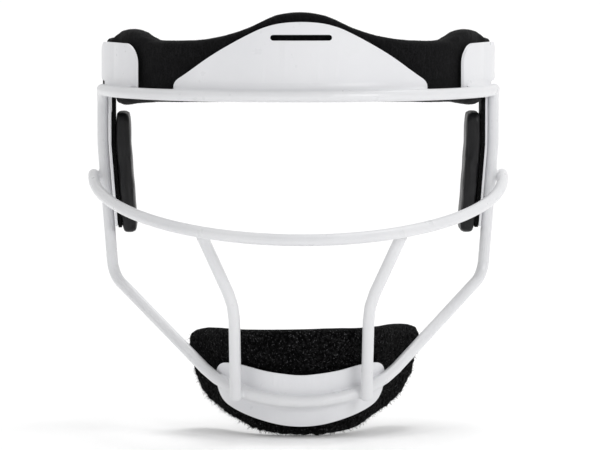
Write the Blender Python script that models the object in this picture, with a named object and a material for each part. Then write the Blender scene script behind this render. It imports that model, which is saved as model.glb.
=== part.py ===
"""Fielder's face mask: welded wire guard, coated plates, pull-off pads and a rear strap.

The file works in millimetres and turns them into metres when a mesh is made. +Z is up and the
guard faces -Y. The origin is the centre of the forehead pad's inner face.
Outlines are lists of (distance, height) knots joined by a smooth curve.
"""
import math

import bmesh
import bpy
from mathutils import Matrix, Vector

MM = 0.001

# Fits
GAP = 0.3                   # clearance between solids that touch on the real mask

# Wire
WIRE_D = 5.2                # outside diameter with its coating
WIRE_R = WIRE_D / 2
WIRE_SIDES = 16

# Brow bar and side wires, one bent wire
HALF_WIDTH = 90.6           # mid-plane to the side wire's axis
BROW_FRONT = -16.3          # depth of the brow bar's axis at the middle
BROW_BACK = 72.0            # where its curve ends and runs straight back
BROW_Z = -16.4
SIDE_Y = 75.0               # depth of the side wires
SIDE_BEND_R = 8.0
LEAN_START = -42.0          # the side wires lean inwards below this height
LEAN = 0.078                # inward travel per unit of height
SIDE_FOOT_Z = -92.0         # where the side wires are butt-welded to the jaw wire

# Jaw wire, bent in one tilted plane
CHIN_Y = -14.7
CHIN_Z = -152.7
JAW_SLOPE = 0.555           # rise per unit of depth
CHIN_CORNER = 28.4          # half-distance between the corners of the chin bend
CHIN_BEND_R = 50.0
JAW_BEND_R = 11.0

# Mouth bar, half an ellipse in a plane that rises to the back
MOUTH_FRONT = -55.0
MOUTH_Z = -77.4
MOUTH_SLOPE = 0.157
MOUTH_BACK = 80.0

# Uprights
UP_TOP = (44.6, -76.0)      # half-distance and height of its end behind the mouth bar
UP_KNEE = (29.9, -109.0)
UP_FOOT = (29.2, -152.3)    # its end in front of the chin plate
UP_BEND_R = 34.0
CROSS = WIRE_D + GAP        # between the axes of two wires that cross squarely
UP_BEHIND = CROSS * 1.16    # from the mouth bar's axis in plan to the uprights', which slant
UP_AHEAD = CROSS * 1.06     # the same from the jaw wire's axis
CHIN_TILT = 0.28            # the chin parts lean forward this much per unit of height

# Layers, measured inwards from the wire's axis
PLATE_T = 1.0
TAPE_T = 1.6
PLATE_OUT = WIRE_R + GAP
PLATE_IN = PLATE_OUT + PLATE_T
TAPE_OUT = PLATE_IN + GAP
TAPE_IN = TAPE_OUT + TAPE_T
PAD_OUT = TAPE_IN + GAP

# Forehead plate
BROW_PLATE_HALF = 57.0
BROW_PLATE_TOP = [(0, 16.6), (8.4, 16.1), (13.7, 15.0), (19.1, 13.1), (29.8, 7.6),
                  (40.7, 1.0), (51.6, -6.9), (57.0, -10.6)]
BROW_PLATE_LOW = BROW_Z - 1.2
BROW_PLATE_CORNER = 2.0
SLOT_W = 27.5
SLOT_H = 2.6
SLOT_Z = 9.6

# Side plates
LOBE_FRONT = 74.4           # half-distance of their front edges
LOBE_TOP = 5.8
LOBE_CORNER = 9.0
LOBE_SHOULDER = 64.0        # depth where their top edge drops to the strap tab
LEG_FRONT = 67.0
LEG_BACK = 92.0
LEG_LOW = -80.0
LEG_CORNER = 2.0
TAB_FRONT = 74.0
TAB_BACK = 99.0
TAB_TOP = 0.8
TAB_LOW = -23.5
TAB_CORNER = 5.0
FLARE = 3.4                 # the lobe turns out this far before the tab turns in again
FLARE_OUT = (50.0, 74.0)    # depths over which the flare grows, from a crease
FLARE_BACK = (79.0, 91.0)   # depths over which it goes again
FLARE_LEFT = 0.25           # the share of it that is left at the tab
FLARE_ABOVE = (-14.0, -11.5)            # heights over which it sets in, clear of the brow bar
FLARE_BEHIND = (79.0, 85.0)             # depths over which it sets in, clear of the side wire
FLARE_FOOT = (TAB_LOW - 5.0, TAB_LOW - 1.0)     # heights over which it sets in there
STRAP_SLOT = (86.4, 90.4)   # front and back edges of the strap slot
SLOT_PLAY = 0.5             # above and below the strap
SIDE_CUT = (50.0, 120.0)    # sideways reach of what trims a side plate

# Chin plate
CHIN_PLATE_HALF = 47.6      # half-length along its curve
CHIN_PLATE_TOP = [(0, -140.8), (8.5, -140.1), (17, -138.9), (26, -137.0), (32, -136.3),
                  (40, -136.3)]
CHIN_PLATE_LOW = [(0, -164.5), (8.5, -164.0), (17, -162.6), (30, -159.5), (41, -156.0),
                  (48, -152.5)]
CHIN_PLATE_CORNER = 4.0     # low corners
CHIN_PLATE_SHOULDER = 11.0  # high corners

# Forehead pad
HEAD_PAD_T = -BROW_FRONT - PAD_OUT
HEAD_PAD_BACK = 86.0
HEAD_PAD_TOP = [(0, 21.4), (6, 21.0), (13.4, 19.4), (22.7, 15.4), (30, 12.7), (38, 10.5),
                (45, 9.2), (53, 8.5), (60, 8.2), (66, 8.3), (70, 9.2), (74, 11.2), (77, 12.3),
                (80, 12.7), (82.5, 12.0), (83.6, 10.8), (84.3, 8.2)]
HEAD_PAD_CORNER = 8.0
HEAD_PAD_EDGE = 3.0
HEAD_PAD_SPREAD = (52.0, 70.0)          # depths over which its outer face meets the side plates
HEAD_PAD_ABOVE = (1.2, 3.6)             # heights over which it does so, clear of the strap tabs
HEAD_PAD_LOW = [(0, -19.6), (45, -20.3), (60, -20.9), (74, -21.8), (83, -23.7)]

# Chin pad
CHIN_PAD_HALF = 82.5        # half-length along its curve
CHIN_PAD_SHIFT = 5.0        # it is stuck on this far towards +X
CHIN_PAD_TILT = 0.007       # and rises this much per unit of run towards +X
CHIN_PAD_T = 11.0
CHIN_PAD_TOP = [(0, -119.6), (50, -120.2), (60, -120.9), (70, -122.0), (83, -124.5)]
CHIN_PAD_LOW = [(0, -169.5), (15, -169.4), (30, -168.2), (48, -164.2), (64, -161.0),
                (72, -158.6), (83, -153.0)]
CHIN_PAD_CORNER = 6.5

# Side pads
SIDE_PAD_T = 6.8
SIDE_PAD_FRONT = 66.0
SIDE_PAD_BACK = 93.0
SIDE_PAD_TOP = -26.7
SIDE_PAD_LOW = -83.3
SIDE_PAD_CORNER = 4.0

# Hook tapes
HEAD_TAPE_HALF = 38.0
HEAD_TAPE = (-15.0, -1.5)   # low and high edges
SIDE_TAPE = (-80.4, LEAN_START, -19.5)
CHIN_TAPE_HALF = 40.0
CHIN_TAPE_H = 14.0

# Strap
STRAP_W = 16.0
STRAP_T = 1.6
STRAP_Z = -10.6
STRAP_STRAIGHT = 134.0      # the strap runs straight back to here, then round the head
STRAP_REAR = 193.0
STRAP_FOLD_END = 131.0
KEEPER_Y = 116.0
KEEPER_L = 8.0
KEEPER_WALL = 2.0
KEEPER_CLEAR = 0.4

COATING = ((0.86, 0.86, 0.88), 0.35)
PLATE = ((0.80, 0.80, 0.84), 0.4)
FABRIC = ((0.02, 0.02, 0.022), 0.9)
FLEECE = ((0.03, 0.03, 0.032), 0.95)
SATIN = ((0.05, 0.05, 0.055), 0.5)
HOOK = ((0.012, 0.012, 0.012), 0.8)
WEBBING = ((0.025, 0.025, 0.028), 0.8)
MOULDED = ((0.02, 0.02, 0.02), 0.4)

for old in list(bpy.data.objects):
    bpy.data.objects.remove(old, do_unlink=True)


def add_object(name, points, faces, look):
    """Makes one named object from points in millimetres, with its origin at its middle."""
    low = Vector([min(p[i] for p in points) for i in range(3)])
    high = Vector([max(p[i] for p in points) for i in range(3)])
    middle = (low + high) / 2
    mesh = bpy.data.meshes.new(name)
    mesh.from_pydata([(Vector(p) - middle) * MM for p in points], [], faces)
    body = bmesh.new()
    body.from_mesh(mesh)
    bmesh.ops.recalc_face_normals(body, faces=body.faces)
    bmesh.ops.triangulate(body, faces=[f for f in body.faces if len(f.verts) == 4])
    body.to_mesh(mesh)
    body.free()
    material = bpy.data.materials.new(name)
    material.use_nodes = True
    shader = material.node_tree.nodes["Principled BSDF"]
    shader.inputs["Base Color"].default_value = (*look[0], 1.0)
    shader.inputs["Roughness"].default_value = look[1]
    mesh.materials.append(material)
    obj = bpy.data.objects.new(name, mesh)
    obj.location = middle * MM
    bpy.context.scene.collection.objects.link(obj)
    mesh.shade_smooth()
    mesh.set_sharp_from_angle(angle=math.radians(40))
    return obj


def skin(rings):
    """Points and faces of a closed solid through equal rings, capped at each end."""
    count = len(rings[0])
    points = [p for ring in rings for p in ring]
    faces = []
    for i in range(len(rings) - 1):
        for j in range(count):
            k = (j + 1) % count
            faces.append((i * count + j, (i + 1) * count + j, (i + 1) * count + k, i * count + k))
    faces.append(tuple(range(count)))
    faces.append(tuple(reversed(range((len(rings) - 1) * count, len(rings) * count))))
    return points, faces


def cut(obj, cutter, operation="DIFFERENCE"):
    """Subtracts a cutter from an object, or keeps what is inside it, and removes the cutter."""
    cutter.hide_render = True
    cutter.display_type = "WIRE"
    step = obj.modifiers.new("cut", "BOOLEAN")
    step.operation = operation
    step.solver = "EXACT"
    step.object = cutter
    bpy.context.view_layer.update()
    graph = bpy.context.evaluated_depsgraph_get()
    mesh = bpy.data.meshes.new_from_object(obj.evaluated_get(graph))
    obj.modifiers.clear()
    obj.data = mesh
    bpy.data.objects.remove(cutter, do_unlink=True)


def bent_path(corners, radii):
    """Points along straight runs, with each inner corner bent to its radius."""
    corners = [Vector(c) for c in corners]
    path = [corners[0]]
    for before, corner, after, radius in zip(corners, corners[1:], corners[2:], radii):
        into = (corner - before).normalized()
        away = (after - corner).normalized()
        turn = into.angle(away)
        start = corner - into * radius * math.tan(turn / 2)
        axis = into.cross(away).normalized()
        centre = start + axis.cross(into) * radius
        count = max(2, round(turn / math.radians(9)))
        for i in range(count + 1):
            path.append(centre + Matrix.Rotation(turn * i / count, 3, axis) @ (start - centre))
    path.append(corners[-1])
    return path


def add_wire(name, path, domed=True):
    """Sweeps the round wire along a path. Free ends are rounded, butt-welded ends are square."""
    path = [Vector(p) for p in path]
    clean = [path[0]]
    for point in path[1:-1]:
        from_ends = min((point - path[0]).length, (point - path[-1]).length)
        if (point - clean[-1]).length > 1.0 and from_ends > WIRE_R:
            clean.append(point)
    path = clean + [path[-1]]
    start = (path[1] - path[0]).normalized()
    finish = (path[-1] - path[-2]).normalized()
    dome = [(0.0, 0.55), (0.18, 0.87), (0.5, 1.0)] if domed else [(0.0, 1.0)]
    stops = [(path[0] + start * WIRE_R * inset, scale) for inset, scale in dome]
    stops += [(point, 1.0) for point in path[1:-1]]
    stops += [(path[-1] - finish * WIRE_R * inset, scale) for inset, scale in reversed(dome)]
    side = start.orthogonal().normalized()
    rings = []
    for i, (point, scale) in enumerate(stops):
        ahead = stops[min(i + 1, len(stops) - 1)][0]
        behind = stops[max(i - 1, 0)][0]
        along = (ahead - behind).normalized()
        side = (side - along * side.dot(along)).normalized()
        up = along.cross(side)
        ring = []
        for j in range(WIRE_SIDES):
            turn = 2 * math.pi * j / WIRE_SIDES
            ring.append(point + (side * math.cos(turn) - up * math.sin(turn)) * WIRE_R * scale)
        rings.append(ring)
    points, faces = skin(rings)
    return add_object(name, points, faces, COATING)


def knot_curve(knots, x):
    """Smooth curve through knots of (distance, value), level beyond each end."""
    if x <= knots[0][0]:
        return knots[0][1]
    if x >= knots[-1][0]:
        return knots[-1][1]
    index = max(i for i in range(len(knots) - 1) if knots[i][0] <= x)
    slopes = []
    for i in (index, index + 1):
        before = knots[i - 1] if i > 0 else (-knots[1][0], knots[1][1])
        after = knots[min(i + 1, len(knots) - 1)]
        slopes.append((after[1] - before[1]) / (after[0] - before[0]))
    (x0, v0), (x1, v1) = knots[index], knots[index + 1]
    span = x1 - x0
    t = (x - x0) / span
    rise = v0 * (2 * t ** 3 - 3 * t ** 2 + 1) + v1 * (3 * t ** 2 - 2 * t ** 3)
    return rise + span * (slopes[0] * (t ** 3 - 2 * t ** 2 + t) + slopes[1] * (t ** 3 - t ** 2))


def corner_inset(distance, radius):
    """How far a rounded corner draws an edge in, at a distance from the end."""
    lack = min(radius, max(radius - distance, 0.0))
    return radius - math.sqrt(radius ** 2 - lack ** 2)


def end_runs(last, radius):
    """Runs close to an end, spaced to follow a rounded corner there."""
    return [last - radius * (1 - math.cos(math.radians(a))) for a in (90, 62, 40, 20, 0)]


def lean_x(z):
    """Mid-plane to the side wire's axis at a height."""
    return HALF_WIDTH - LEAN * max(0.0, LEAN_START - z)


def brow_place(run, offset):
    """Plan point inside the brow curve. A run is in degrees to 90, then in millimetres on."""
    depth = BROW_BACK - BROW_FRONT
    side = math.copysign(1, run)
    if abs(run) > 90:
        return Vector((side * (HALF_WIDTH - offset), BROW_BACK + abs(run) - 90))
    turn = math.radians(abs(run))
    inward = Vector((-depth * math.sin(turn), HALF_WIDTH * math.cos(turn))).normalized()
    x = HALF_WIDTH * math.sin(turn) + inward.x * offset
    return Vector((side * x, BROW_BACK - depth * math.cos(turn) + inward.y * offset))


def brow_run(offset, x=None, y=None):
    """The run at which an offset line reaches a half-distance x or a depth y."""
    if y is not None and y >= BROW_BACK:
        return 90 + y - BROW_BACK
    low, high = 0.0, 90.0
    for _ in range(40):
        middle = (low + high) / 2
        place = brow_place(middle, offset)
        reached = place.x >= x if x is not None else place.y >= y
        low, high = (low, middle) if reached else (middle, high)
    return low


def chin_corners():
    """Plan corners of the jaw wire, from one foot of the side wires to the other."""
    foot = Vector((lean_x(jaw_z(SIDE_Y)), SIDE_Y))
    corner = Vector((CHIN_CORNER, CHIN_Y))
    return foot, corner


def jaw_z(y):
    return CHIN_Z + JAW_SLOPE * (y - CHIN_Y)


def chin_place(run, offset):
    """Plan point inside the chin curve, at a length along it from the middle."""
    foot, corner = chin_corners()
    turn = math.atan2(foot.y - corner.y, foot.x - corner.x)
    flat = corner.x - CHIN_BEND_R * math.tan(turn / 2)
    side = math.copysign(1, run)
    length = abs(run)
    arc = CHIN_BEND_R * turn
    if length <= flat:
        place, angle = Vector((length, CHIN_Y)), 0.0
    elif length <= flat + arc:
        angle = (length - flat) / CHIN_BEND_R
        place = Vector((flat + CHIN_BEND_R * math.sin(angle),
                        CHIN_Y + CHIN_BEND_R * (1 - math.cos(angle))))
    else:
        angle = turn
        place = Vector((flat + CHIN_BEND_R * math.sin(turn),
                        CHIN_Y + CHIN_BEND_R * (1 - math.cos(turn))))
        place += Vector((math.cos(turn), math.sin(turn))) * (length - flat - arc)
    z = jaw_z(place.y)
    place += Vector((-math.sin(angle), math.cos(angle))) * offset
    return Vector((side * place.x, place.y)), Vector((-side * math.sin(angle), math.cos(angle))), z


def brow_column(run, offset):
    """Plan point of an upright layer on the brow curve, as a function of height."""
    place = brow_place(run, offset)
    return lambda z: place


def side_column(y, offset, flare=0.0):
    """The same for a layer that leans with the right side wire and flares out at the strap tab."""
    def place(z):
        run = brow_run(offset, y=y)
        curve = brow_place(run, offset)
        out = flare * flare_share(y, z)
        return Vector((curve.x - (HALF_WIDTH - lean_x(z)) + out, curve.y))
    return place


def smooth_step(value, limits):
    """Rises smoothly from 0 to 1 between two limits."""
    share = min(max((value - limits[0]) / (limits[1] - limits[0]), 0.0), 1.0)
    return share * share * (3 - 2 * share)


def flare_share(y, z):
    """The share of the flare: it grows from a crease, above the brow bar and behind it."""
    grown = min(max((y - FLARE_OUT[0]) / (FLARE_OUT[1] - FLARE_OUT[0]), 0.0), 1.0)
    share = (1 - (1 - grown) ** 2) * (1 - (1 - FLARE_LEFT) * smooth_step(y, FLARE_BACK))
    behind = smooth_step(y, FLARE_BEHIND) * smooth_step(z, FLARE_FOOT)
    return share * max(smooth_step(z, FLARE_ABOVE), behind)


def chin_column(run, offset):
    """Plan point of a layer on the chin curve, which leans forward with height."""
    place, inward, wire_z = chin_place(run, offset)
    return lambda z: place - inward * CHIN_TILT * (z - wire_z)


def section(outer, inner, heights, edge=0.0):
    """Ring around a layer from its outer to its inner face, with rounded or square edges."""
    low, high = heights[0], heights[-1]
    if edge:
        depth = (outer((low + high) / 2) - inner((low + high) / 2)).length
        edge = min(edge, depth * 0.48, (high - low) * 0.48)
        share = edge / depth
        turns = [math.radians(a) for a in (0, 30, 60, 90)]
        bottom = [(share * (1 - math.sin(t)), low + edge * (1 - math.cos(t))) for t in turns]
        face = [(0.0, z) for z in heights[1:-1]]
        pairs = bottom + face + [(m, high + low - z) for m, z in reversed(bottom)]
        pairs += [(1 - m, z) for m, z in reversed(pairs)]
    else:
        pairs = [(0.0, z) for z in heights] + [(1.0, z) for z in reversed(heights)]
    ring = []
    for mix, z in pairs:
        place = outer(z).lerp(inner(z), mix)
        ring.append(Vector((place.x, place.y, z)))
    return ring


def mirrored(points):
    return [Vector((-p.x, p.y, p.z)) for p in points]


def add_pair(stem, rings, look, cuts=()):
    """Makes the right piece from rings and (cutter rings, operation) pairs, and mirrors the left."""
    right = add_object("right_" + stem, *skin(rings), look)
    for cutter, operation in cuts:
        cut(right, add_object("cutter", *skin(cutter), look), operation)
    points = mirrored([(right.matrix_basis @ v.co) / MM for v in right.data.vertices])
    faces = [tuple(reversed(face.vertices)) for face in right.data.polygons]
    add_object("left_" + stem, points, faces, look)


def both_ways(runs):
    """Runs from the left end through the middle to the right end."""
    return [-r for r in reversed(runs) if r > 0] + list(runs)


def even(start, end, count):
    return [start + (end - start) * i / (count - 1) for i in range(count)]


# --- wires ---
def side_path():
    """The right side wire from the end of the brow curve down to its foot."""
    top = (HALF_WIDTH, BROW_BACK - SIDE_BEND_R, BROW_Z)
    return bent_path([top, (HALF_WIDTH, SIDE_Y, BROW_Z), (HALF_WIDTH, SIDE_Y, LEAN_START),
                      (lean_x(SIDE_FOOT_Z), SIDE_Y, SIDE_FOOT_Z)], [SIDE_BEND_R, 60.0])


right_side = side_path()[1:]
brow_limit = brow_run(0.0, y=SIDE_Y - SIDE_BEND_R - 1.5)
brow_curve = [Vector((*brow_place(run, 0.0), BROW_Z)) for run in even(-brow_limit, brow_limit, 41)]
add_wire("brow_wire", mirrored(reversed(right_side)) + brow_curve + right_side, domed=False)

foot, chin_corner = chin_corners()
jaw_plan = bent_path([(foot.x, foot.y, 0), (chin_corner.x, chin_corner.y, 0),
                      (-chin_corner.x, chin_corner.y, 0), (-foot.x, foot.y, 0)],
                     [CHIN_BEND_R, CHIN_BEND_R])
jaw_run = [Vector((p.x, p.y, jaw_z(p.y))) for p in jaw_plan]
join_z = SIDE_FOOT_Z - GAP
jaw_bend = bent_path([(lean_x(join_z), SIDE_Y, join_z), jaw_run[0], jaw_run[1]], [JAW_BEND_R])
jaw_path = jaw_bend[:-1] + jaw_run[1:-1] + mirrored(reversed(jaw_bend[:-1]))
add_wire("jaw_wire", jaw_path, domed=False)

mouth_half = lean_x(MOUTH_Z + MOUTH_SLOPE * (SIDE_Y - MOUTH_FRONT)) + WIRE_D + GAP + 0.1
mouth_path = []
for angle in even(-90, 90, 47):
    turn = math.radians(angle)
    y = MOUTH_BACK - (MOUTH_BACK - MOUTH_FRONT) * math.cos(turn)
    mouth_path.append((mouth_half * math.sin(turn), y, MOUTH_Z + MOUTH_SLOPE * (y - MOUTH_FRONT)))
add_wire("mouth_wire", mouth_path)


def chin_run(x, offset):
    """The run at which a line offset from the chin curve reaches a half-distance x."""
    low, high = 0.0, 90.0
    for _ in range(40):
        middle = (low + high) / 2
        low, high = (low, middle) if chin_place(middle, offset)[0].x >= x else (middle, high)
    return low


def mouth_y(x, offset):
    """Depth of a line inside the mouth bar's plan curve, at a half-distance x."""
    low, high = 0.0, math.pi / 2
    depth = MOUTH_BACK - MOUTH_FRONT
    for _ in range(40):
        middle = (low + high) / 2
        inward = Vector((-depth * math.sin(middle), mouth_half * math.cos(middle))).normalized()
        reached = mouth_half * math.sin(middle) + inward.x * offset >= x
        low, high = (low, middle) if reached else (middle, high)
    return MOUTH_BACK - depth * math.cos(low) + inward.y * offset


# Each upright slopes evenly from behind the mouth bar to the front of the jaw wire
crossing, _, crossing_z = chin_place(chin_run(UP_FOOT[0], -UP_AHEAD), -UP_AHEAD)
top_y = mouth_y(UP_TOP[0], UP_BEHIND)
slope = (crossing.y - top_y) / (crossing_z - UP_TOP[1])
corners = [(x, top_y + slope * (z - UP_TOP[1]), z) for x, z in (UP_TOP, UP_KNEE, UP_FOOT)]
upright = bent_path(corners, [UP_BEND_R])
add_wire("right_upright_wire", upright)
add_wire("left_upright_wire", mirrored(upright))


# --- coated plates ---
def brow_layer(runs, edges, offsets, edge=0.0):
    """Rings of an upright layer on the brow curve, between two offsets from it."""
    outer, inner = offsets
    return [section(brow_column(run, outer), brow_column(run, inner), edges(run), edge)
            for run in runs]


def chin_layer(runs, edges, offsets, edge=0.0):
    """The same on the chin curve."""
    outer, inner = offsets
    return [section(chin_column(run, outer), chin_column(run, inner), edges(run), edge)
            for run in runs]


def side_layer(depths, edges, offsets, edge=0.0, flare=0.0):
    """The same inside the right side wire, at a list of depths."""
    outer, inner = offsets
    return [section(side_column(y, outer, flare), side_column(y, inner, flare), edges(y), edge)
            for y in depths]


def brow_plate_edges(run):
    x = brow_place(abs(run), PLATE_OUT).x
    drawn = corner_inset(BROW_PLATE_HALF - x, BROW_PLATE_CORNER)
    return BROW_PLATE_LOW, knot_curve(BROW_PLATE_TOP, x) - drawn


end = brow_run(PLATE_OUT, x=BROW_PLATE_HALF)
corner = brow_run(PLATE_OUT, x=BROW_PLATE_HALF - BROW_PLATE_CORNER)
runs = both_ways(even(0.0, corner, 25)[:-1] + end_runs(end, end - corner))
points, faces = skin(brow_layer(runs, brow_plate_edges, (PLATE_OUT, PLATE_IN)))
forehead_plate = add_object("forehead_plate", points, faces, PLATE)
slot = []
for side in (-1, 1):
    for i in range(9):
        turn = math.radians(-90 + 22.5 * i)
        slot.append(((side * (SLOT_W / 2 - SLOT_H / 2 + SLOT_H / 2 * math.cos(turn))),
                     SLOT_Z + side * SLOT_H / 2 * math.sin(turn)))
slot_rings = [[(x, y, z) for x, z in slot] for y in (BROW_FRONT, 0.0)]
cut(forehead_plate, add_object("slot_cutter", *skin(slot_rings), PLATE))


def side_plate_outline(front):
    """Outline of a side plate seen from the side, as (depth, height) points."""
    middle = (front + LEG_FRONT) / 2
    corners = [(middle, BROW_PLATE_LOW), (LEG_FRONT, BROW_PLATE_LOW), (LEG_FRONT, LEG_LOW),
               (LEG_BACK, LEG_LOW), (LEG_BACK, TAB_LOW), (TAB_BACK, TAB_LOW), (TAB_BACK, TAB_TOP),
               (TAB_FRONT, TAB_TOP), (LOBE_SHOULDER, LOBE_TOP), (front, LOBE_TOP),
               (front, BROW_PLATE_LOW), (middle, BROW_PLATE_LOW)]
    radii = [3.0, LEG_CORNER, LEG_CORNER, 3.0, TAB_CORNER, TAB_CORNER, 8.0, 12.0, LOBE_CORNER, 1.0]
    path = bent_path([(y, z, 0) for y, z in corners], radii)
    return [(p.x, p.y) for p in path[:-1]]


front = brow_place(brow_run(PLATE_OUT, x=LOBE_FRONT), PLATE_OUT).y
# The sheet's grid overhangs the outline and keeps its lines off the outline's straight edges
depths = even(front - 1.5, LEG_FRONT - 2.3, 12) + even(LEG_FRONT + 1.1, TAB_BACK + 1.0, 17)
heights = [LEG_LOW - 1.0, -60.0, LEAN_START, -29.0] + even(TAB_LOW - 2.2, FLARE_ABOVE[0] - 1.3, 5)
heights += even(FLARE_ABOVE[0] - 0.4, FLARE_ABOVE[1] + 0.4, 5)
heights += even(FLARE_ABOVE[1] + 2.3, LOBE_TOP + 1.0, 8)
rings = side_layer(depths, lambda y: heights, (PLATE_OUT, PLATE_IN), flare=FLARE)
trim = [[(x, y, z) for y, z in side_plate_outline(front)] for x in SIDE_CUT]
slot_low, slot_high = STRAP_Z - STRAP_W / 2 - SLOT_PLAY, STRAP_Z + STRAP_W / 2 + SLOT_PLAY
slot_corners = [(STRAP_SLOT[0], slot_low), (STRAP_SLOT[1], slot_low),
                (STRAP_SLOT[1], slot_high), (STRAP_SLOT[0], slot_high)]
slot = [[(x, y, z) for y, z in slot_corners] for x in SIDE_CUT]
add_pair("side_plate", rings, PLATE, [(trim, "INTERSECT"), (slot, "DIFFERENCE")])


def chin_plate_edges(run):
    to_end = CHIN_PLATE_HALF - abs(run)
    return (knot_curve(CHIN_PLATE_LOW, abs(run)) + corner_inset(to_end, CHIN_PLATE_CORNER),
            knot_curve(CHIN_PLATE_TOP, abs(run)) - corner_inset(to_end, CHIN_PLATE_SHOULDER))


runs = both_ways(even(0.0, CHIN_PLATE_HALF - CHIN_PLATE_SHOULDER - 1, 15)
                 + even(CHIN_PLATE_HALF - CHIN_PLATE_SHOULDER, CHIN_PLATE_HALF - 5.5, 4)
                 + end_runs(CHIN_PLATE_HALF, 4.0))
points, faces = skin(chin_layer(runs, chin_plate_edges, (PLATE_OUT, PLATE_IN)))
add_object("chin_plate", points, faces, PLATE)


# --- hook tapes ---
def chin_tape_edges(run):
    wire_z = chin_place(run, 0.0)[2]
    return wire_z - CHIN_TAPE_H / 2, wire_z + CHIN_TAPE_H / 2


end = brow_run(TAPE_OUT, x=HEAD_TAPE_HALF)
points, faces = skin(brow_layer(both_ways(even(0.0, end, 15)), lambda run: HEAD_TAPE,
                                (TAPE_OUT, TAPE_IN)))
add_object("forehead_hook_tape", points, faces, HOOK)
points, faces = skin(chin_layer(both_ways(even(0.0, CHIN_TAPE_HALF, 13)), chin_tape_edges,
                                (TAPE_OUT, TAPE_IN)))
add_object("chin_hook_tape", points, faces, HOOK)
rings = side_layer(even(LEG_FRONT + 1, LEG_BACK - 1, 6), lambda y: SIDE_TAPE,
                   (TAPE_OUT, TAPE_IN))
add_pair("side_hook_tape", rings, HOOK)


# --- pads ---
def head_pad_edges(run):
    place = brow_place(abs(run), PAD_OUT)
    drawn = corner_inset(HEAD_PAD_BACK - place.y, HEAD_PAD_CORNER)
    low, high = knot_curve(HEAD_PAD_LOW, place.x) + drawn, knot_curve(HEAD_PAD_TOP, place.x) - drawn
    foot, top = low + HEAD_PAD_EDGE + 0.2, high - HEAD_PAD_EDGE - 0.2
    waist = min(HEAD_PAD_ABOVE[0], top - 1.0)
    return [low] + even(foot, waist, 5) + even(waist + 0.3, min(HEAD_PAD_ABOVE[1], top), 4) + [high]


def spread_column(run):
    """The pad's outer face, which spreads out to the side plates at the temples."""
    place = brow_place(run, PAD_OUT)
    side = math.copysign(1, run)

    def at(z):
        reach = PAD_OUT - PLATE_IN - 2 * GAP + (FLARE - GAP) * flare_share(place.y, z)
        share = smooth_step(place.y, HEAD_PAD_SPREAD) * smooth_step(z, HEAD_PAD_ABOVE)
        return place + Vector((side * share * reach, 0.0))
    return at


last = brow_run(PAD_OUT, y=HEAD_PAD_BACK)
runs = both_ways(even(0.0, 88.0, 31) + even(last - HEAD_PAD_CORNER, last - 4.0, 3)
                 + end_runs(last, 3.0))
rings = [section(spread_column(run), brow_column(run, PAD_OUT + HEAD_PAD_T), head_pad_edges(run),
                 HEAD_PAD_EDGE) for run in runs]
add_object("forehead_pad", *skin(rings), FABRIC)


def chin_pad_edges(run):
    length = abs(run - CHIN_PAD_SHIFT)
    drawn = corner_inset(CHIN_PAD_HALF - length, CHIN_PAD_CORNER)
    rise = CHIN_PAD_TILT * run
    return (knot_curve(CHIN_PAD_LOW, length) + max(rise, 0.0) + drawn,
            knot_curve(CHIN_PAD_TOP, length) + rise - drawn)


runs = both_ways(even(0.0, CHIN_PAD_HALF - CHIN_PAD_CORNER - 1, 23)
                 + end_runs(CHIN_PAD_HALF, CHIN_PAD_CORNER))
runs = [run + CHIN_PAD_SHIFT for run in runs]
points, faces = skin(chin_layer(runs, chin_pad_edges, (PAD_OUT, PAD_OUT + CHIN_PAD_T), 4.0))
add_object("chin_pad", points, faces, FLEECE)


def side_pad_edges(y):
    drawn = corner_inset(min(y - SIDE_PAD_FRONT, SIDE_PAD_BACK - y), SIDE_PAD_CORNER)
    return SIDE_PAD_LOW + drawn, LEAN_START, SIDE_PAD_TOP - drawn


ends = [0.0, 0.25, 0.95, 2.1, 4.0]
depths = [SIDE_PAD_FRONT + e for e in ends] + [79.5] + [SIDE_PAD_BACK - e for e in reversed(ends)]
rings = side_layer(depths, side_pad_edges, (PAD_OUT, PAD_OUT + SIDE_PAD_T), 2.0)
add_pair("side_pad", rings, SATIN)


# --- strap ---
def strap_half():
    """Centreline of the strap in plan, from its folded end round a side slot to the rear."""
    tab = side_column(STRAP_SLOT[1], PLATE_OUT, FLARE)(STRAP_Z).x
    plate_mid = tab - PLATE_T / 2
    turn_r = PLATE_T / 2 + GAP + STRAP_T / 2
    main_x = plate_mid - turn_r
    fold_x = main_x + STRAP_T + GAP + 0.1
    path = [(fold_x, STRAP_FOLD_END), (fold_x, TAB_BACK + 8.0)]
    path += [(plate_mid + turn_r + 0.15, TAB_BACK + 1.0), (plate_mid + turn_r, STRAP_SLOT[1] + 0.5)]
    for angle in range(0, 181, 20):
        turn = math.radians(angle)
        path.append((plate_mid + turn_r * math.cos(turn), STRAP_SLOT[1] - turn_r * math.sin(turn)))
    path += [(main_x, 100.0), (main_x, 110.0), (main_x, STRAP_STRAIGHT - 6.0)]
    for angle in range(0, 90, 6):
        turn = math.radians(angle)
        y = STRAP_STRAIGHT + (STRAP_REAR - STRAP_T / 2 - STRAP_STRAIGHT) * math.sin(turn)
        path.append((main_x * math.cos(turn), y))
    return [Vector(p) for p in path], main_x, fold_x


half, main_x, fold_x = strap_half()
whole = half + [Vector((0.0, STRAP_REAR - STRAP_T / 2))] + [Vector((-p.x, p.y)) for p in reversed(half)]
rings = []
for i, place in enumerate(whole):
    ahead = whole[min(i + 1, len(whole) - 1)]
    behind = whole[max(i - 1, 0)]
    along = (ahead - behind).normalized()
    across = Vector((-along.y, along.x)) * STRAP_T / 2
    low, high = STRAP_Z - STRAP_W / 2, STRAP_Z + STRAP_W / 2
    ring = [(place - across, low), (place - across, high), (place + across, high), (place + across, low)]
    rings.append([Vector((p.x, p.y, z)) for p, z in ring])
points, faces = skin(rings)
add_object("rear_strap", points, faces, WEBBING)

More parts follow.
